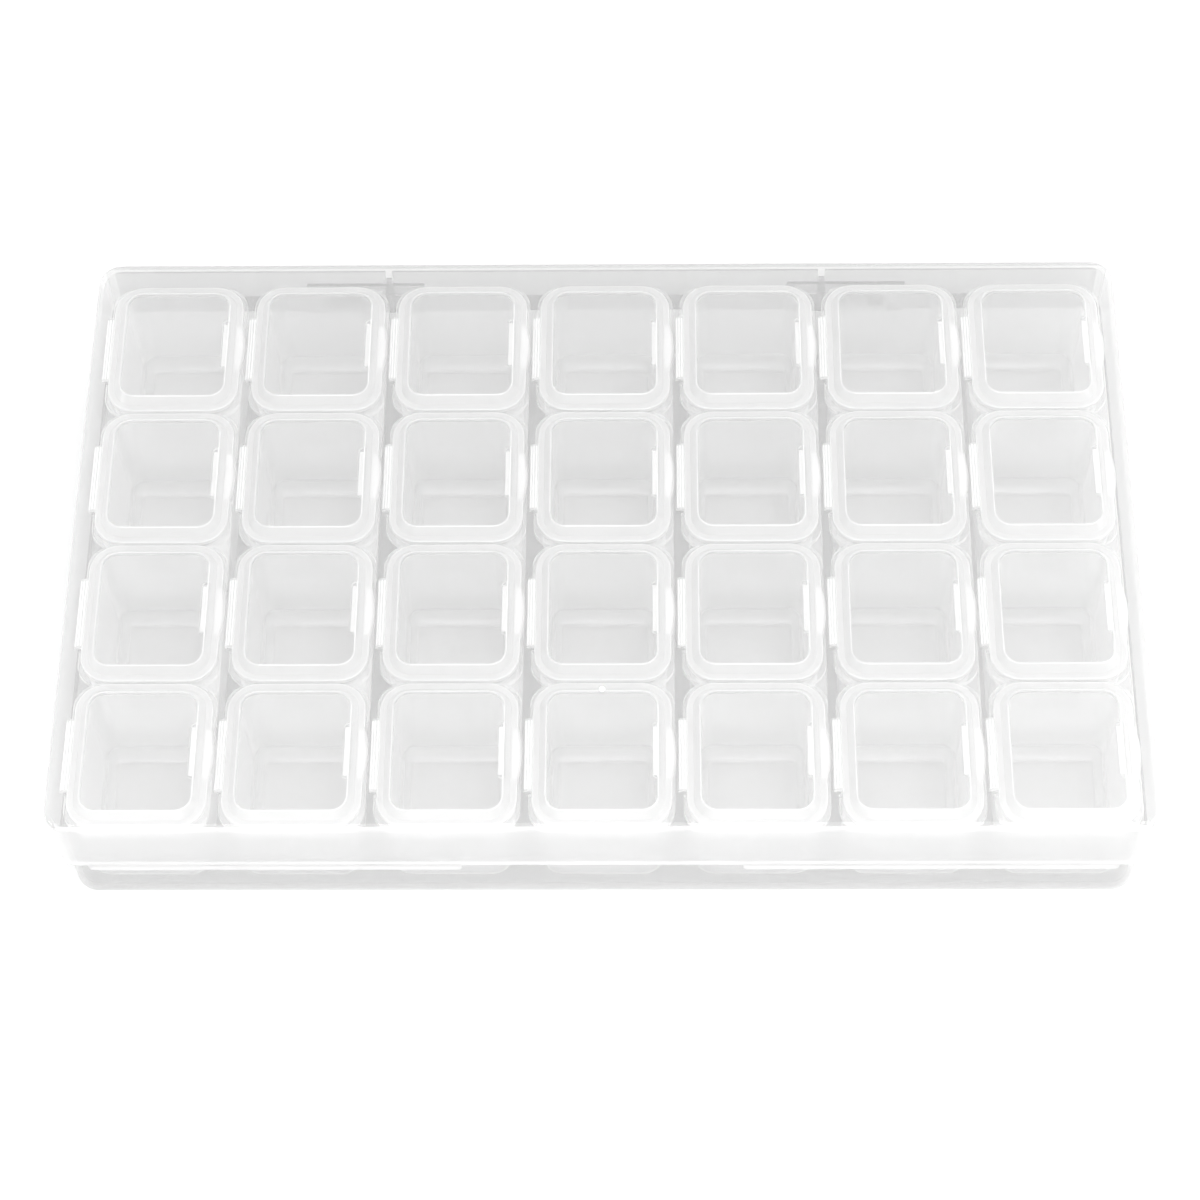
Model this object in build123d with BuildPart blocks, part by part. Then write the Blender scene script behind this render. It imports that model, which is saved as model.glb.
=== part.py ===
"""Bead organizer: a clear hinged case with strips of small cups, each cup with its own flip lid.

Millimetres. +X runs along the row of strips, +Y from the front to the hinged back, +Z up.
The origin is on the table, at the centre of the cover's outline.
"""
from build123d import *
from math import atan2, degrees
import os

# ---- Lids -----------------------------------------------------------------------------------
lid_width = 22.2            # X, flat flange
lid_depth = 25.6            # Y, flat flange
lid_corner = 4.8            # corner radius of the flange
lid_flange = 0.9            # flange thickness
flange_edge_round = 0.25    # soft top edge of the flange
flange_show = 1.1           # width of flat flange around the raised panel
panel_slope = 1.1           # how far the panel's side leans in as it rises
panel_rise = 1.4            # panel height over the flange
panel_edge_round = 0.45     # soft edge at the top of the panel
lid_skin = 0.8              # wall left over the hollow under the panel

# ---- Lid hinge: a bead on the strip's rim, held in a half-pipe on the lid --------------------
bead_radius = 0.35
bead_clearance = 0.05       # running clearance, radial
hinge_pipe_wall = 0.3
hinge_pipe_length = 12.9
bead_set_back = 0.25        # bead ends lie inside the pipe's ends
hinge_reach = 0.6           # axis outside the lid's edge
hinge_end_gap = 0.3         # rim cut back past each end of the pipe
pipe_turn_gap = 0.12        # rim cut back from the turning pipe
bead_web = 0.3              # thin web from the rim to the bead

# ---- Thumb lip on the lid's free side --------------------------------------------------------
lip_length = 9.8
lip_reach = 0.7
scoop_depth = 0.5           # shallow finger scoop in the panel above the lip
scoop_reach = 1.0           # how far the scoop runs into the panel's top
scoop_round = 0.9

# ---- Cup strips ------------------------------------------------------------------------------
strip_count = 7
cups_per_strip = 4
strip_height = 20.6         # underside to rim top
rim_show = 0.5              # rim seen outside the lid's long sides
rim_thickness = 1.0
rim_corner = 4.0
rim_lap = 0.3               # neighbouring cups' rims run into each other
strip_gap = 1.3             # between the rims of neighbouring strips
lid_gap = 0.45              # between neighbouring lids of one strip
cup_ledge = 1.15            # rim overhang outside the cup wall, in X
cup_end_ledge = 0.3         # lid overhang outside the cup wall, in Y
cup_wall = 1.0
cup_floor = 1.0
cup_corner = 4.0
cup_draft = 1.2             # degrees
cup_foot_round = 3.3        # outer radius around the cup's foot
cup_link_width = 8.0        # web that ties two neighbouring cups
cup_link_height = 10.0

# ---- Case ------------------------------------------------------------------------------------
strip_play_x = 1.4          # room between the outer rims and the cover's side walls
strip_play_y = 1.1          # room between the rims' ends and the cover's walls
strips_forward = 0.4        # the strips lie this much towards the front
lid_seat_gap = 0.1          # lid over rim
lid_headroom = 0.7          # lid panel under the cover
case_corner = 4.0           # outer corner radius of the cover
cover_wall = 1.0
cover_top = 1.1
cover_edge_round = 1.2
cover_play = 0.35           # between the cover's skirt and the base
flap_drop = 1.7             # front flap below the rest of the skirt
flap_side_gap = 1.5         # flap ends before the corner's arc
notch_length = 44.8         # thumb notch in the flap
notch_round = 0.8
base_wall = 1.0
base_floor = 1.2
base_height = 18.0
base_foot_round = 1.0
snap_height = 14.0          # snap bead on the base's front wall
snap_reach = 0.25
snap_length = 150.0
gate_radius = 0.6           # moulding gate marks, in line on cover and base
gate_depth = 0.2
gate_y = -29.5

# ---- Case hinge ------------------------------------------------------------------------------
pin_radius = 0.9
pin_clearance = 0.05        # running clearance, radial
pin_reach = 2.5             # how far each stub pin enters the knuckle
knuckle_wall = 0.8
knuckle_width = 9.3
knuckle_x = 44.15           # knuckle centre from the middle of the case
hinge_gap = 0.3             # between turning and fixed hinge parts
pad_inner_x = 31.7          # hinge pad on the cover's back
pad_outer_x = 52.2
pad_rise = 6.0              # pad above the hinge axis
pad_top_reach = 0.6         # pad thickness at its top

# ---- Locating ribs at the back ---------------------------------------------------------------
rib_x = 37.4
rib_width = 1.2
fin_top_gap = 0.3           # base fin under the cover's rib
cover_rib_height = 2.1      # cover's rib below the ceiling
fin_reach = 1.35            # fin inside the base's wall
cover_rib_reach = 2.0

# ---- Worked out from the sizes above ---------------------------------------------------------
rim_width = lid_width + 2 * rim_show
strip_pitch = rim_width + strip_gap
cup_pitch = lid_depth + lid_gap
rim_cell_depth = cup_pitch + rim_lap
strips_length = strip_count * strip_pitch - strip_gap
strips_depth = (cups_per_strip - 1) * cup_pitch + rim_cell_depth

case_length = strips_length + 2 * (strip_play_x + cover_wall)
case_depth = strips_depth + 2 * (strip_play_y + cover_wall)
rim_top = base_floor + strip_height
lid_bottom = rim_top + lid_seat_gap
flange_top = lid_bottom + lid_flange
panel_top = flange_top + panel_rise
ceiling = panel_top + lid_headroom
case_height = ceiling + cover_top
cover_inset = cover_wall + cover_play
base_length = case_length - 2 * cover_inset
base_depth = case_depth - 2 * cover_inset

hinge_z = case_height / 2                       # the opened cover lies flat on the table
skirt_edge = hinge_z
knuckle_radius = pin_radius + pin_clearance + knuckle_wall
hinge_y = base_depth / 2 + hinge_gap + knuckle_radius
fin_top = ceiling - cover_rib_height - fin_top_gap
pad_x = (pad_inner_x + pad_outer_x) / 2         # pad centre from the middle of the case
flap_length = case_length - 2 * (case_corner + flap_side_gap)

lid_axis_x = -lid_width / 2 - hinge_reach       # from the strip's middle
lid_axis_z = rim_top + lid_seat_gap / 2
pipe_bore = bead_radius + bead_clearance
pipe_radius = pipe_bore + hinge_pipe_wall
hinge_cut = rim_width / 2 + lid_axis_x + pipe_radius + pipe_turn_gap     # rim cut back from its edge
web_reach = pipe_radius + pipe_turn_gap + rim_thickness / 2              # from the axis into the rim

cup_width = rim_width - 2 * cup_ledge
cup_depth = lid_depth - 2 * cup_end_ledge
cup_foot_hollow = cup_foot_round - cup_wall
panel_angle = degrees(atan2(panel_slope, panel_rise))
panel_half_width = lid_width / 2 - flange_show - panel_slope
hollow_rise = lid_flange + panel_rise - lid_skin
hollow_width = lid_width - 2 * flange_show + 2 * (lid_flange * panel_slope / panel_rise - lid_skin)
hollow_depth = hollow_width + lid_depth - lid_width
hollow_corner = lid_corner - (lid_width - hollow_width) / 2
past = 1.0                                      # cutters run this far past what they cut

first_row = -(cups_per_strip - 1) / 2 * cup_pitch - strips_forward
first_column = -(strip_count - 1) / 2 * strip_pitch
cup_rows = [first_row + row * cup_pitch for row in range(cups_per_strip)]
strip_columns = [first_column + column * strip_pitch for column in range(strip_count)]


# ---- Case base: open tray with two hinge knuckles, two fins and a snap bead ------------------
with BuildPart() as case_base:
    with BuildSketch():
        RectangleRounded(base_length, base_depth, case_corner)
    extrude(amount=base_height)
    fillet(case_base.faces().sort_by(Axis.Z)[0].edges(), radius=base_foot_round)

    # knuckles: a round barrel and the web that carries it, behind the back wall
    for side in (-1, 1):
        with BuildSketch(Plane.YZ.offset(side * knuckle_x)):
            with Locations((hinge_y, hinge_z)):
                Circle(knuckle_radius)
                Rectangle(2 * knuckle_radius, knuckle_radius, align=(Align.MAX, Align.MAX))
        extrude(amount=knuckle_width / 2, both=True)
        with BuildSketch(Plane.YZ.offset(side * knuckle_x)):
            with Locations((hinge_y, hinge_z)):
                Circle(pin_radius + pin_clearance)
        extrude(amount=knuckle_width / 2 + past, both=True, mode=Mode.SUBTRACT)

    # snap bead along the front wall
    with BuildSketch(Plane.YZ):
        with Locations((-base_depth / 2, snap_height)):
            Ellipse(snap_reach, 2 * snap_reach)
    extrude(amount=snap_length / 2, both=True)

    # hollow of the tray, and the gate mark under its floor
    with BuildSketch(Plane.XY.offset(base_floor)):
        RectangleRounded(base_length - 2 * base_wall, base_depth - 2 * base_wall, case_corner - base_wall)
    extrude(amount=base_height, mode=Mode.SUBTRACT)
    with BuildSketch():
        with Locations((0, gate_y)):
            Circle(gate_radius)
    extrude(amount=gate_depth, mode=Mode.SUBTRACT)

    # fins that stand on the back wall between two pairs of strips
    with BuildSketch(Plane.XY.offset(base_floor)):
        with Locations((-rib_x, base_depth / 2), (rib_x, base_depth / 2)):
            Rectangle(rib_width, base_wall + fin_reach, align=(Align.CENTER, Align.MAX))
    extrude(amount=fin_top - base_floor)


# ---- Case cover: flat top, skirt with a front flap, hinge pads with stub pins ----------------
with BuildPart() as case_cover:
    with BuildSketch(Plane.XY.offset(skirt_edge)):
        RectangleRounded(case_length, case_depth, case_corner)
    extrude(amount=case_height - skirt_edge)
    fillet(case_cover.faces().sort_by(Axis.Z)[-1].edges(), radius=cover_edge_round)

    # flap at the front, with the thumb notch in its middle
    with BuildSketch(Plane.XZ.offset(case_depth / 2)) as flap_outline:
        with Locations((0, skirt_edge)):
            Rectangle(flap_length, 2 * flap_drop)
            Rectangle(notch_length, 2 * flap_drop, mode=Mode.SUBTRACT)
        fillet(flap_outline.vertices().group_by(Axis.Y)[0], radius=notch_round)
    extrude(amount=-cover_wall)

    # hinge pads: two arms on each side of a knuckle, joined above it
    for side in (-1, 1):
        with BuildSketch(Plane.YZ.offset(side * pad_x)):
            with Locations((hinge_y, hinge_z)):
                Circle(knuckle_radius)
            with BuildLine():
                Polyline(
                    (case_depth / 2 - cover_wall / 2, hinge_z),
                    (hinge_y + knuckle_radius, hinge_z),
                    (case_depth / 2 + pad_top_reach, hinge_z + pad_rise),
                    (case_depth / 2 - cover_wall / 2, hinge_z + pad_rise),
                    close=True,
                )
            make_face()
        extrude(amount=(pad_outer_x - pad_inner_x) / 2, both=True)
        with BuildSketch(Plane.YZ.offset(side * knuckle_x)):
            with Locations((hinge_y, hinge_z + knuckle_radius + hinge_gap)):
                Rectangle(4 * knuckle_radius, 4 * knuckle_radius, align=(Align.CENTER, Align.MAX))
        extrude(amount=knuckle_width / 2 + hinge_gap, both=True, mode=Mode.SUBTRACT)
        for end in (-1, 1):
            with BuildSketch(Plane.YZ.offset(side * knuckle_x + end * (knuckle_width / 2 + hinge_gap))):
                with Locations((hinge_y, hinge_z)):
                    Circle(pin_radius)
            extrude(amount=-end * (pin_reach + hinge_gap))

    # hollow under the top, then the locating ribs inside the back wall
    with BuildSketch(Plane.XY.offset(skirt_edge - flap_drop)):
        RectangleRounded(case_length - 2 * cover_wall, case_depth - 2 * cover_wall, case_corner - cover_wall)
    extrude(amount=ceiling - skirt_edge + flap_drop, mode=Mode.SUBTRACT)
    with BuildSketch(Plane.XY.offset(fin_top + fin_top_gap)):
        with Locations((-rib_x, case_depth / 2 - cover_wall), (rib_x, case_depth / 2 - cover_wall)):
            Rectangle(rib_width, cover_rib_reach, align=(Align.CENTER, Align.MAX))
    extrude(until=Until.NEXT)

    # gate mark in the top
    with BuildSketch(Plane.XY.offset(case_height)):
        with Locations((0, gate_y)):
            Circle(gate_radius)
    extrude(amount=-gate_depth, mode=Mode.SUBTRACT)


# ---- The hollow of one cup, cut from the strip once for every cup ----------------------------
with BuildPart() as cup_hollow:
    with BuildSketch(Plane.XY.offset(rim_top)):
        RectangleRounded(cup_width - 2 * cup_wall, cup_depth - 2 * cup_wall, cup_corner - cup_wall)
    extrude(amount=-(strip_height - cup_floor), taper=cup_draft)
    fillet(cup_hollow.faces().sort_by(Axis.Z)[0].edges(), radius=cup_foot_hollow)


# ---- Cup strip: four cups under one rim, with a hinge bead beside each cup -------------------
with BuildPart() as cup_strip:
    with BuildSketch(Plane.XY.offset(rim_top)):
        with Locations(*[(0, y) for y in cup_rows]):
            RectangleRounded(cup_width, cup_depth, cup_corner)
    extrude(amount=-strip_height, taper=cup_draft)
    fillet(cup_strip.faces().group_by(Axis.Z)[0].edges(), radius=cup_foot_round)

    # rim, cut back at the left where each lid's hinge turns
    with BuildSketch(Plane.XY.offset(rim_top - rim_thickness)):
        with Locations(*[(0, y) for y in cup_rows]):
            RectangleRounded(rim_width, rim_cell_depth, rim_corner)
        with Locations(*[(-rim_width / 2, y) for y in cup_rows]):
            Rectangle(2 * hinge_cut, hinge_pipe_length + 2 * hinge_end_gap, mode=Mode.SUBTRACT)
    extrude(amount=rim_thickness)

    # links that tie neighbouring cups together under the rim
    with BuildSketch(Plane.XY.offset(rim_top - cup_link_height)):
        with Locations(*[(0, y + cup_pitch / 2) for y in cup_rows[:-1]]):
            Rectangle(cup_link_width, cup_pitch - cup_depth + cup_wall)
    extrude(amount=cup_link_height)

    # hollow of every cup
    with Locations(*[(0, y) for y in cup_rows]):
        add(cup_hollow.part, mode=Mode.SUBTRACT)

    # hinge beads on their thin webs
    for y in cup_rows:
        with BuildSketch(Plane.XZ.offset(-y)):
            with Locations((lid_axis_x, lid_axis_z)):
                Circle(bead_radius)
            with Locations((lid_axis_x, rim_top)):
                Rectangle(web_reach, bead_web, align=(Align.MIN, Align.MAX))
        extrude(amount=hinge_pipe_length / 2 - bead_set_back, both=True)


# ---- Lid: flange, hollow raised panel, hinge half-pipe at the left, thumb lip at the right ----
with BuildPart() as cup_lid:
    with BuildSketch(Plane.XY.offset(lid_bottom)):
        RectangleRounded(lid_width, lid_depth, lid_corner)
        with BuildLine():
            ThreePointArc(
                (lid_width / 2, -lip_length / 2),
                (lid_width / 2 + lip_reach, 0),
                (lid_width / 2, lip_length / 2),
            )
            Line((lid_width / 2, lip_length / 2), (lid_width / 2, -lip_length / 2))
        make_face()
    extrude(amount=lid_flange)
    fillet(cup_lid.faces().sort_by(Axis.Z)[-1].edges(), radius=flange_edge_round)

    # raised panel, with its scoop over the lip, and the hollow under it
    with BuildSketch(Plane.XY.offset(flange_top)):
        RectangleRounded(lid_width - 2 * flange_show, lid_depth - 2 * flange_show, lid_corner - flange_show)
    extrude(amount=panel_rise, taper=panel_angle)
    fillet(cup_lid.faces().sort_by(Axis.Z)[-1].edges(), radius=panel_edge_round)
    with BuildSketch(Plane.XY.offset(panel_top - scoop_depth)):
        with Locations((panel_half_width - scoop_reach, 0)):
            RectangleRounded(2 * lip_length, lip_length, scoop_round, align=(Align.MIN, Align.CENTER))
    extrude(amount=scoop_depth + past, mode=Mode.SUBTRACT)
    with BuildSketch(Plane.XY.offset(lid_bottom)):
        RectangleRounded(hollow_width, hollow_depth, hollow_corner)
    extrude(amount=hollow_rise, taper=panel_angle, mode=Mode.SUBTRACT)

    # hinge half-pipe over the strip's bead
    with BuildSketch(Plane.XZ):
        with Locations((lid_axis_x, lid_bottom)):
            Rectangle(hinge_reach + flange_show / 2, pipe_radius, align=(Align.MIN, Align.MIN))
        with Locations((lid_axis_x, lid_axis_z)):
            Circle(pipe_radius)
            Circle(pipe_bore, mode=Mode.SUBTRACT)
        with Locations((lid_axis_x, lid_bottom)):
            Rectangle(4 * pipe_radius, 2 * pipe_radius, align=(Align.CENTER, Align.MAX), mode=Mode.SUBTRACT)
    extrude(amount=hinge_pipe_length / 2, both=True)


# ---- Write every piece -----------------------------------------------------------------------
os.makedirs("parts", exist_ok=True)


def write_piece(piece, name):
    """Label one finished piece and write it as its own STEP file."""
    piece.label = name
    export_step(piece, f"parts/{name}.step")


write_piece(case_base.part, "case_base")
write_piece(case_cover.part, "case_cover")
for column, x in enumerate(strip_columns, start=1):
    write_piece(cup_strip.part.moved(Location((x, 0, 0))), f"strip_{column}")
    for row, y in enumerate(cup_rows, start=1):
        write_piece(cup_lid.part.moved(Location((x, y, 0))), f"lid_{column}_{row}")
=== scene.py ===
import bpy
import bmesh
from math import radians, sin, cos, asin, pi
from mathutils import Vector, Matrix


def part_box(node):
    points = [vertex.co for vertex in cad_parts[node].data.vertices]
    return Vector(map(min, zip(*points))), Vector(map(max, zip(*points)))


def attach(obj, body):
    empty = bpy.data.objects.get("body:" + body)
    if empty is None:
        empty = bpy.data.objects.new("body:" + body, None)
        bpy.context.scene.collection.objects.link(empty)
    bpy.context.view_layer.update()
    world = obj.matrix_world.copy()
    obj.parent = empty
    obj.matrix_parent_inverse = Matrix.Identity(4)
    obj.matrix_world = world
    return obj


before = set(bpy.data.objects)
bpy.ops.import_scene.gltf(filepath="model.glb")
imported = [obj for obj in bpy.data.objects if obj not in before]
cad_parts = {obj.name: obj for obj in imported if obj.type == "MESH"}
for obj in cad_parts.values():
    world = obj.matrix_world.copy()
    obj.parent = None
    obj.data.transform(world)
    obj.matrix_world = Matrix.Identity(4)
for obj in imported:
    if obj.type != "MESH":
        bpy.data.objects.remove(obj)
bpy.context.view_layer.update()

MM = 0.001                  # pieces are drawn in mm and scaled to the frame's metres
scene = bpy.context.scene
scene.view_settings.view_transform = "Standard"

# ---- Table and studio ---------------------------------------------------------------------
# A white painted board under the case and a white tent around it, lit evenly.
# The board is plain white to the camera and keeps the soft shade that the case throws on it.
BOARD_HALF = 3.0            # metres
BOARD_DROP = 0.00005        # its face lies just under the case, metres
BOARD_PAINT = "#E4E4E4"
BOARD_LIFT = 0.06           # lifts the board to white where it is seen, also through the clear walls
TENT_LIGHT = 0.95


def linear(hex_colour):
    """sRGB hex to the linear colour that a shader takes."""
    parts = [int(hex_colour[i:i + 2], 16) / 255 for i in (1, 3, 5)]
    return tuple(v / 12.92 if v <= 0.04045 else ((v + 0.055) / 1.055) ** 2.4 for v in parts) + (1.0,)


def add_node(tree, kind, settings=None, links=None):
    """One shader node: its settings by name, its input links by socket name or number."""
    node = tree.nodes.new(kind)
    for key, value in (settings or {}).items():
        if isinstance(key, int) or key in node.inputs:
            node.inputs[key].default_value = value
        else:
            setattr(node, key, value)
    for socket, source in (links or {}).items():
        tree.links.new(source, node.inputs[socket])
    return node


def new_material(name):
    """An empty node material and its tree."""
    material = bpy.data.materials.new(name)
    material.use_nodes = True
    material.node_tree.nodes.clear()
    return material, material.node_tree


def seen_ray(tree):
    """1 for what the camera sees, straight on, mirrored or through clear plastic."""
    path = add_node(tree, "ShaderNodeLightPath")
    seen = add_node(tree, "ShaderNodeMath", {"operation": "MAXIMUM"},
                    {0: path.outputs["Is Camera Ray"], 1: path.outputs["Is Transmission Ray"]})
    seen = add_node(tree, "ShaderNodeMath", {"operation": "MAXIMUM"},
                    {0: seen.outputs[0], 1: path.outputs["Is Glossy Ray"]})
    return seen.outputs[0]


board_mesh = bpy.data.meshes.new("board")
board_form = bmesh.new()
bmesh.ops.create_grid(board_form, x_segments=1, y_segments=1, size=BOARD_HALF,
                      matrix=Matrix.Translation((0, 0, -BOARD_DROP)))
board_form.to_mesh(board_mesh)
board_form.free()
board = bpy.data.objects.new("board", board_mesh)
scene.collection.objects.link(board)

board_paint, tree = new_material("board_paint")
paint = add_node(tree, "ShaderNodeBsdfDiffuse", {"Color": linear(BOARD_PAINT)})
seen = seen_ray(tree)
lift = add_node(tree, "ShaderNodeMath", {"operation": "MULTIPLY", 1: BOARD_LIFT}, {0: seen})
glow = add_node(tree, "ShaderNodeEmission", {"Color": (1, 1, 1, 1)}, {"Strength": lift.outputs[0]})
surface = add_node(tree, "ShaderNodeAddShader", links={0: paint.outputs[0], 1: glow.outputs[0]})
add_node(tree, "ShaderNodeOutputMaterial", links={"Surface": surface.outputs[0]})
board_mesh.materials.append(board_paint)

tent = bpy.data.worlds.new("tent")
scene.world = tent
tent.use_nodes = True
tree = tent.node_tree
tree.nodes.clear()
strength = add_node(tree, "ShaderNodeMapRange", {"To Min": TENT_LIGHT, "To Max": 1.0},
                    {"Value": seen_ray(tree)})
sky = add_node(tree, "ShaderNodeBackground", {"Color": (1, 1, 1, 1)}, {"Strength": strength.outputs[0]})
add_node(tree, "ShaderNodeOutputWorld", links={"Surface": sky.outputs[0]})


# ---- Case base ----------------------------------------------------------------------------
# The lower shell, injection moulded in clear polypropylene, with the hinge knuckles moulded on.
# Thin walls let the table show through and go greyer and milkier where they are seen along.
BASE_TINT, BASE_EDGE_TINT = "#F3F3F3", "#EAEAEA"      # what one surface lets through
BASE_MILK, BASE_EDGE_MILK = 0.03, 0.3
BASE_GLOSS = 0.06
FLOOR_TOP = 1.2             # the strips stand on it
FLAT_TURN = 0.98            # skin counts as flat where its normal's z is over this
TOUCH_BAND = 0.00002        # metres, how near to its height touching skin is
SHINE_SQUARE, SHINE_ALONG = 0.04, 0.7       # mirror share square on and along the wall


def clear_plastic(name, tint, edge_tint, milk, edge_milk, gloss, body="#FFFFFF",
                  clear=None, grain=None, touch=None, painted_light=None, shade=None):
    """Clear moulded plastic: each surface lets light straight on, tinted, and scatters a share of it.

    tint and milk hold square on, the edge values where the wall is seen along. body colours what
    scatters. clear is (lowest z, highest z, share) in mm: flat skin there scatters only that share.
    grain is (size in mm, height in mm) of the fine texture. Skin at the height touch, in mm, lies on
    another piece and lets everything through. painted_light is (highest y in mm, share scattered
    there): painted light, skin there scatters more and shows lighter. shade is (lowest y in mm,
    further tint there): painted shade, skin there lets less through and shows greyer.
    """
    material, tree = new_material(name)
    along = add_node(tree, "ShaderNodeLayerWeight", {"Blend": 0.5}).outputs["Facing"]
    steep = add_node(tree, "ShaderNodeMath", {"operation": "POWER", 1: 2.0}, {0: along}).outputs[0]
    place = add_node(tree, "ShaderNodeTexCoord").outputs["Object"]
    spot = add_node(tree, "ShaderNodeSeparateXYZ", links={0: place})

    # the share that the surface scatters
    haze = add_node(tree, "ShaderNodeMapRange", {"To Min": milk, "To Max": edge_milk}, {"Value": steep})
    if clear:
        low, high, share = clear
        above = add_node(tree, "ShaderNodeMath", {"operation": "GREATER_THAN", 1: low / 1000},
                         {0: spot.outputs["Z"]})
        below = add_node(tree, "ShaderNodeMath", {"operation": "LESS_THAN", 1: high / 1000},
                         {0: spot.outputs["Z"]})
        turn = add_node(tree, "ShaderNodeNewGeometry")
        turn = add_node(tree, "ShaderNodeSeparateXYZ", links={0: turn.outputs["Normal"]})
        turn = add_node(tree, "ShaderNodeMath", {"operation": "ABSOLUTE"}, {0: turn.outputs["Z"]})
        flat = add_node(tree, "ShaderNodeMath", {"operation": "GREATER_THAN", 1: FLAT_TURN},
                        {0: turn.outputs[0]})
        inside = add_node(tree, "ShaderNodeMath", {"operation": "MULTIPLY"},
                          {0: above.outputs[0], 1: below.outputs[0]})
        inside = add_node(tree, "ShaderNodeMath", {"operation": "MULTIPLY"},
                          {0: inside.outputs[0], 1: flat.outputs[0]})
        scale = add_node(tree, "ShaderNodeMapRange", {"To Min": 1.0, "To Max": share},
                         {"Value": inside.outputs[0]})
        haze = add_node(tree, "ShaderNodeMath", {"operation": "MULTIPLY"},
                        {0: haze.outputs[0], 1: scale.outputs[0]})
    # painted light: skin in front of the y limit scatters a larger share and shows lighter
    if painted_light:
        limit, share = painted_light
        near = add_node(tree, "ShaderNodeMath", {"operation": "LESS_THAN", 1: limit / 1000},
                        {0: spot.outputs["Y"]})
        near = add_node(tree, "ShaderNodeMath", {"operation": "MULTIPLY", 1: share}, {0: near.outputs[0]})
        haze = add_node(tree, "ShaderNodeMath", {"operation": "MAXIMUM"},
                        {0: haze.outputs[0], 1: near.outputs[0]})

    # the colour that goes straight on
    through = add_node(tree, "ShaderNodeMix",
                       {"data_type": "RGBA", 6: linear(tint), 7: linear(edge_tint)}, {0: steep})
    # painted shade: skin behind the y limit lets less through and shows greyer
    if shade:
        limit, dark = shade
        far = add_node(tree, "ShaderNodeMath", {"operation": "GREATER_THAN", 1: limit / 1000},
                       {0: spot.outputs["Y"]})
        through = add_node(tree, "ShaderNodeMix",
                           {"data_type": "RGBA", "blend_type": "MULTIPLY", 7: linear(dark)},
                           {0: far.outputs[0], 6: through.outputs[2]})

    # clear, scattering and mirroring shares together
    relief = {}
    if grain:
        size, depth = grain
        noise = add_node(tree, "ShaderNodeTexNoise", {"Scale": 1000 / size, "Detail": 2.0},
                         {"Vector": place})
        bump = add_node(tree, "ShaderNodeBump", {"Strength": 1.0, "Distance": depth / 1000},
                        {"Height": noise.outputs[0]})
        relief = {"Normal": bump.outputs[0]}
    straight = add_node(tree, "ShaderNodeBsdfTransparent", links={"Color": through.outputs[2]})
    front = add_node(tree, "ShaderNodeBsdfDiffuse", {"Color": linear(body)}, relief)
    behind = add_node(tree, "ShaderNodeBsdfTranslucent", {"Color": linear(body)}, relief)
    cloud = add_node(tree, "ShaderNodeMixShader", {0: 0.5}, {1: front.outputs[0], 2: behind.outputs[0]})
    inner = add_node(tree, "ShaderNodeMixShader",
                     links={0: haze.outputs[0], 1: straight.outputs[0], 2: cloud.outputs[0]})
    fifth = add_node(tree, "ShaderNodeMath", {"operation": "POWER", 1: 5.0}, {0: along})
    shine = add_node(tree, "ShaderNodeMapRange", {"To Min": SHINE_SQUARE, "To Max": SHINE_ALONG},
                     {"Value": fifth.outputs[0]})
    mirror = add_node(tree, "ShaderNodeBsdfGlossy", {"Color": (1, 1, 1, 1), "Roughness": gloss}, relief)
    whole = add_node(tree, "ShaderNodeMixShader",
                     links={0: shine.outputs[0], 1: inner.outputs[0], 2: mirror.outputs[0]})
    if touch is not None:
        met = add_node(tree, "ShaderNodeMath", {"operation": "COMPARE", 1: touch / 1000, 2: TOUCH_BAND},
                       {0: spot.outputs["Z"]})
        bare = add_node(tree, "ShaderNodeBsdfTransparent", {"Color": (1, 1, 1, 1)})
        whole = add_node(tree, "ShaderNodeMixShader",
                         links={0: met.outputs[0], 1: whole.outputs[0], 2: bare.outputs[0]})
    add_node(tree, "ShaderNodeOutputMaterial", links={"Surface": whole.outputs[0]})
    return material


def dress(material, *nodes):
    """Give nodes of the frame their one material."""
    for node in nodes:
        bpy.data.objects[node].data.materials.clear()
        bpy.data.objects[node].data.materials.append(material)


def add_piece(name, form, material, body):
    """Make a piece of the object from a bmesh in mm; it rides on one body of the frame."""
    bmesh.ops.recalc_face_normals(form, faces=form.faces)
    bmesh.ops.scale(form, vec=(MM, MM, MM), verts=form.verts)
    mesh = bpy.data.meshes.new(name)
    form.to_mesh(mesh)
    form.free()
    mesh.materials.append(material)
    piece = bpy.data.objects.new(name, mesh)
    scene.collection.objects.link(piece)
    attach(piece, body)
    return piece


def add_disc(form, x, y, z, radius, height):
    """A flat round disc, its middle at x, y, z."""
    bmesh.ops.create_cone(form, cap_ends=True, segments=24, radius1=radius, radius2=radius, depth=height,
                          matrix=Matrix.Translation((x, y, z)))


base_plastic = clear_plastic("base_plastic", BASE_TINT, BASE_EDGE_TINT, BASE_MILK, BASE_EDGE_MILK,
                             BASE_GLOSS, touch=FLOOR_TOP)
dress(base_plastic, "case_base")

# the gate's torn end stands whitish in its small recess under the floor, just clear of its bottom
GATE_Y, GATE_RADIUS, GATE_HEIGHT, GATE_RECESS = -29.5, 0.5, 0.12, 0.2
GATE_CLEAR = 0.01
gate_plastic = clear_plastic("gate_plastic", "#FFFFFF", "#FFFFFF", 0.8, 0.95, 0.4)
form = bmesh.new()
add_disc(form, 0, GATE_Y, GATE_RECESS - GATE_HEIGHT / 2 - GATE_CLEAR, GATE_RADIUS, GATE_HEIGHT)
add_piece("base_gate", form, gate_plastic, "case")
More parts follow.
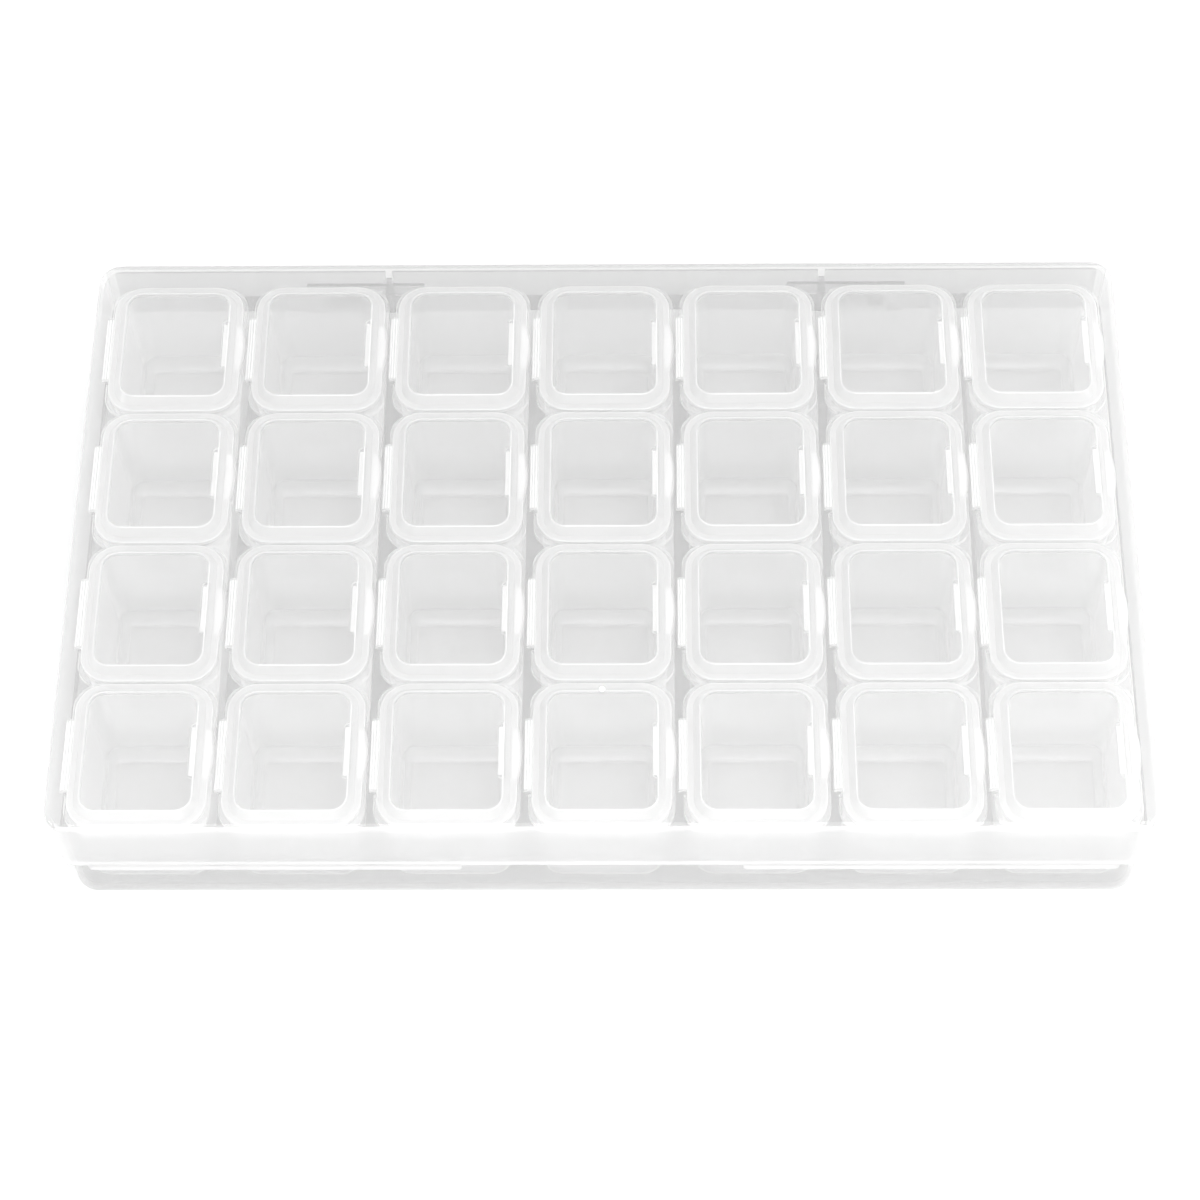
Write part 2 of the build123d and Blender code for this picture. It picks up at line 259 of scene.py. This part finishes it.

# ---- Case cover ---------------------------------------------------------------------------
# The upper shell of the same plastic, with hinge pads, two locating ribs and a front flap.
# Its top is polished; its front face scatters more and shows lighter as painted light, and its back wall is
# tinted greyer as painted shade.
COVER_TINT, COVER_EDGE_TINT = "#FFFFFF", "#CECECE"
COVER_MILK, COVER_EDGE_MILK = 0.01, 0.8
COVER_GLOSS = 0.05
COVER_PAINTED_LIGHT = (-53.7, 0.3)              # the front's face, painted light: it scatters more and shows lighter
COVER_PAINTED_SHADE = (53.0, "#EEEEEE")         # the back wall, painted shade: it lets less through and shows greyer
cover_plastic = clear_plastic("cover_plastic", COVER_TINT, COVER_EDGE_TINT, COVER_MILK, COVER_EDGE_MILK,
                              COVER_GLOSS, painted_light=COVER_PAINTED_LIGHT, shade=COVER_PAINTED_SHADE)
dress(cover_plastic, "case_cover")


def rounded_loop(middle, half_x, half_y, radius, z, steps=6):
    """Points of a rounded rectangle, counter-clockwise, with steps along each corner."""
    points = []
    for turn, (side_x, side_y) in enumerate(((1, 1), (-1, 1), (-1, -1), (1, -1))):
        for step in range(steps + 1):
            angle = (turn + step / steps) * pi / 2
            points.append(Vector((middle[0] + side_x * (half_x - radius) + radius * cos(angle),
                                  middle[1] + side_y * (half_y - radius) + radius * sin(angle), z)))
    return points


def add_bead(form, points, radius, closed=False, sides=8):
    """A thin round bead along level points, bridged from ring to ring."""
    rings = []
    last = len(points) - 1
    for index, point in enumerate(points):
        before = points[index - 1] if index or closed else point
        after = points[(index + 1) % len(points)] if index < last or closed else point
        turn = (after - before).to_track_quat("Z", "Y").to_matrix().to_4x4()
        is_end = not closed and index in (0, last)
        corners = bmesh.ops.create_circle(form, cap_ends=is_end, segments=sides, radius=radius,
                                          matrix=Matrix.Translation(point) @ turn)["verts"]
        rings.append({edge for corner in corners for edge in corner.link_edges})
    for near, far in list(zip(rings, rings[1:])) + ([(rings[-1], rings[0])] if closed else []):
        bmesh.ops.bridge_loops(form, edges=[*near, *far])


# the lower edge of skirt and flap is rolled to a thin round bead in a milkier plastic that shows whiter
# than the wall, a painted highlight along that edge
COVER_LOW, COVER_HIGH = (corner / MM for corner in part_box("case_cover"))
COVER_FRONT = COVER_LOW.y
SKIRT_EDGE, FLAP_EDGE = 13.0, COVER_LOW.z
FLAP_HALF, NOTCH_HALF = 82.0, 22.4
EDGE_BEAD = 0.22
BEAD_INSET = 0.3            # bead's middle in from the outer face and up from the edge
BEAD_STOP = 0.5             # it ends this far before the flap's corners
ON_LINE = 0.01              # points this near to the front's bead lie on it
CASE_CORNER, CASE_BACK = 4.0, -COVER_FRONT
# painted highlight: the bead's plastic scatters most of the light and shows whiter than the wall
edge_highlight_plastic = clear_plastic("rolled_edge_highlight_plastic", "#FFFFFF", "#F4F4F4", 0.55, 0.95, 0.1)
form = bmesh.new()
for low_x, high_x, edge in ((-FLAP_HALF, -NOTCH_HALF, FLAP_EDGE), (NOTCH_HALF, FLAP_HALF, FLAP_EDGE),
                            (-NOTCH_HALF, NOTCH_HALF, SKIRT_EDGE)):
    ends = [Vector((x, COVER_FRONT + BEAD_INSET, edge + BEAD_INSET))
            for x in (low_x + BEAD_STOP, high_x - BEAD_STOP)]
    add_bead(form, ends, EDGE_BEAD)
whole = rounded_loop((0, 0), COVER_HIGH.x - BEAD_INSET, CASE_BACK - BEAD_INSET, CASE_CORNER - BEAD_INSET,
                     SKIRT_EDGE + BEAD_INSET)
whole = [point for point in whole
         if point.y > COVER_FRONT + BEAD_INSET + ON_LINE or abs(point.x) > FLAP_HALF]
start = max(range(len(whole)), key=lambda index: (whole[index] - whole[index - 1]).length)
add_bead(form, whole[start:] + whole[:start], EDGE_BEAD)
add_piece("cover_edge", form, edge_highlight_plastic, "cover")

# the cover's gate mark, a whitish dot in its recess
form = bmesh.new()
add_disc(form, 0, GATE_Y, COVER_HIGH.z - GATE_RECESS + GATE_HEIGHT / 2 + GATE_CLEAR,
         GATE_RADIUS, GATE_HEIGHT)
add_piece("cover_gate", form, gate_plastic, "cover")

# ---- Cup strips ---------------------------------------------------------------------------
# Seven strips of four cups in milkier polypropylene, each moulded in one shot under one rim.
# The floors are thin and clearer; walls and rims scatter more and have a fine frosted grain.
CUP_TINT, CUP_EDGE_TINT = "#FFFFFF", "#FFFFFF"
CUP_MILK, CUP_EDGE_MILK = 0.16, 0.68
CUP_GLOSS = 0.3
CUP_FLOOR = (0.0, 3.0, 0.25)
CUP_GRAIN = (0.25, 0.004)
cup_plastic = clear_plastic("cup_plastic", CUP_TINT, CUP_EDGE_TINT, CUP_MILK, CUP_EDGE_MILK, CUP_GLOSS,
                            clear=CUP_FLOOR, grain=CUP_GRAIN, touch=FLOOR_TOP)
dress(cup_plastic, *[f"strip_{column}" for column in range(1, 8)])


def add_plate(form, outline, thickness):
    """A flat plate under its level top outline."""
    face = form.faces.new([form.verts.new(point) for point in outline])
    pushed = bmesh.ops.extrude_face_region(form, geom=[face])["geom"]
    bmesh.ops.translate(form, vec=(0, 0, -thickness),
                        verts=[part for part in pushed if isinstance(part, bmesh.types.BMVert)])


# flat webs close the corners between neighbouring cups' rims, on the strip's free side
RIM_TOP, WEB_THICKNESS, RIM_CORNER, RIM_LAP = 21.8, 0.9, 4.0, 0.3
WEB_SINK, WEB_BITE = 0.05, 0.01             # under the rim's top, and into its rounded edge
WEB_TURN = asin((RIM_CORNER - RIM_LAP / 2) / RIM_CORNER)
WEB_STEPS = 6
for column in range(1, 8):
    edge_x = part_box(f"strip_{column}")[1].x / MM
    form = bmesh.new()
    for row in range(1, 4):
        joint_y = (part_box(f"lid_{column}_{row}")[1].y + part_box(f"lid_{column}_{row + 1}")[0].y) / 2 / MM
        outline = []
        for side in (-1, 1):
            middle_y = joint_y + side * (RIM_CORNER - RIM_LAP / 2)
            turns = [WEB_TURN * step / WEB_STEPS for step in range(WEB_STEPS + 1)]
            for angle in turns if side < 0 else reversed(turns):
                outline.append((edge_x - RIM_CORNER + RIM_CORNER * cos(angle) + WEB_BITE,
                                middle_y - side * RIM_CORNER * sin(angle), RIM_TOP - WEB_SINK))
        add_plate(form, outline, WEB_THICKNESS)
    add_piece(f"strip_webs_{column}", form, cup_plastic, "case")

# ---- Lids ---------------------------------------------------------------------------------
# Twenty-eight flip lids in the same milky plastic, one over each cup, hinged at the left.
# The flat window is thin and clear; flange, slopes and the hinge half-pipe are milky.
LID_TINT, LID_EDGE_TINT = "#FFFFFF", "#FAFAFA"
LID_MILK, LID_EDGE_MILK = 0.6, 0.95
LID_GLOSS = 0.25
LID_WINDOW = (23.3, 24.3, 0.11)
LID_GRAIN = (0.3, 0.003)
lid_plastic = clear_plastic("lid_plastic", LID_TINT, LID_EDGE_TINT, LID_MILK, LID_EDGE_MILK, LID_GLOSS,
                            body="#EFEFEF", clear=LID_WINDOW, grain=LID_GRAIN)
dress(lid_plastic, *[f"lid_{column}_{row}" for column in range(1, 8) for row in range(1, 5)])

# each lid has thin round beads on its crests and three ridges along its hinge tab, whiter than the lid as
# painted highlight, and a matt thumb patch
LID_HALF_X, LID_HALF_Y, LID_CORNER = 11.1, 12.8, 4.8
FLANGE_TOP, PANEL_TOP = 22.8, 24.2
PANEL_INSET = 2.2           # from the flange's edge to the panel's top edge
HINGE_REACH = 1.3           # the tab reaches this far past the flange
CREST = 0.1                 # radius of a crest
CREST_SINK, CREST_INSET = 0.16, 0.12        # its middle under the top, and in from the flange's edge
TAB_HALF, TAB_RIDGE = 6.1, 0.2
TAB_RIDGES = ((-12.15, 22.3), (-11.75, 22.45), (-11.3, 22.45))       # x and z in the lid's section
PATCH_HALF, PATCH_BULGE, PATCH_RISE, PATCH_STEPS = 4.3, 0.55, 0.04, 8
LIP_PATCH, SCOOP_PATCH, SCOOP_FLOOR = (10.25, 10.85), (8.1, 8.8), 23.7
# painted highlight: crests and ridges scatter most of the light and show whiter than the lid
crest_highlight_plastic = clear_plastic("crest_highlight_plastic", "#FFFFFF", "#FAFAFA", 0.85, 0.97, 0.12)
patch_plastic = clear_plastic("matt_patch_plastic", "#FFFFFF", "#FFFFFF", 0.5, 0.95, 0.6,
                              grain=(0.2, 0.006))
for column in range(1, 8):
    middle_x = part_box(f"lid_{column}_1")[0].x / MM + LID_HALF_X + HINGE_REACH
    for row in range(1, 5):
        low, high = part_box(f"lid_{column}_{row}")
        middle = (middle_x, (low.y + high.y) / 2 / MM)
        form = bmesh.new()
        for inset, top in ((PANEL_INSET, PANEL_TOP), (CREST_INSET, FLANGE_TOP)):
            loop = rounded_loop(middle, LID_HALF_X - inset, LID_HALF_Y - inset, LID_CORNER - inset,
                                top - CREST_SINK)
            add_bead(form, loop, CREST, closed=True)
        for x, z in TAB_RIDGES:
            ends = [Vector((middle[0] + x, middle[1] + side * TAB_HALF, z)) for side in (-1, 1)]
            add_bead(form, ends, TAB_RIDGE)
        add_piece(f"lid_crest_highlights_{column}_{row}", form, crest_highlight_plastic, f"lid_{column}_{row}")

        form = bmesh.new()
        for (low_x, high_x), bulge, top in ((LIP_PATCH, PATCH_BULGE, FLANGE_TOP),
                                            (SCOOP_PATCH, 0, SCOOP_FLOOR)):
            outline = [(middle[0] + low_x, middle[1] + side * PATCH_HALF, top + PATCH_RISE)
                       for side in (1, -1)]
            for step in range(PATCH_STEPS + 1):
                share = 2 * step / PATCH_STEPS - 1
                outline.append((middle[0] + high_x + bulge * (1 - share ** 2),
                                middle[1] + share * PATCH_HALF, top + PATCH_RISE))
            add_plate(form, outline, 2 * PATCH_RISE)
        add_piece(f"lid_patch_{column}_{row}", form, patch_plastic, f"lid_{column}_{row}")

# ---- Camera and lamps ---------------------------------------------------------------------
# A longish lens looks down at the closed case from the front. Wide soft lamps overhead and in
# front light it evenly, and a key at the right and two low ones at the sides edge it brightly.
FRAME_PIXELS = 1200
FOCAL_PIXELS = 3124
AIM = Vector((-0.68, -5.7, 13.0)) / 1000
CAMERA_DISTANCE = 0.521
ELEVATION, AZIMUTH, ROLL = radians(60), radians(-1.9), radians(1.8)
LAMPS = (
    ("top", (0.1, -0.15, 0.9), 0.7, 4.2),
    ("front", (0.05, -0.8, 0.4), 0.7, 3.3),
    ("key", (0.6, -0.25, 0.6), 0.4, 1.2),
    ("low_left", (-0.7, -0.25, 0.16), 0.15, 0.5),
    ("low_right", (0.7, -0.25, 0.16), 0.15, 0.6),
)

forward = Vector((sin(AZIMUTH) * cos(ELEVATION), cos(AZIMUTH) * cos(ELEVATION), -sin(ELEVATION)))
camera = bpy.data.objects.new("camera", bpy.data.cameras.new("camera"))
scene.collection.objects.link(camera)
camera.data.sensor_width = 36
camera.data.lens = 36 * FOCAL_PIXELS / FRAME_PIXELS
camera.data.clip_start = 0.01
look = forward.to_track_quat("-Z", "Y").to_matrix() @ Matrix.Rotation(-ROLL, 3, "Z")
camera.rotation_euler = look.to_euler()
camera.location = AIM - forward * CAMERA_DISTANCE
scene.camera = camera

for name, place, size, power in LAMPS:
    lamp = bpy.data.lights.new(name, "AREA")
    lamp.size = size
    lamp.energy = power
    stand = bpy.data.objects.new(name, lamp)
    scene.collection.objects.link(stand)
    stand.location = place
    stand.rotation_euler = (-Vector(place)).to_track_quat("-Z", "Y").to_euler()

# clear walls lie many deep along one line of sight
scene.cycles.max_bounces = 32
scene.cycles.glossy_bounces = 6
scene.cycles.diffuse_bounces = 16
scene.cycles.transmission_bounces = 12
scene.cycles.transparent_max_bounces = 128
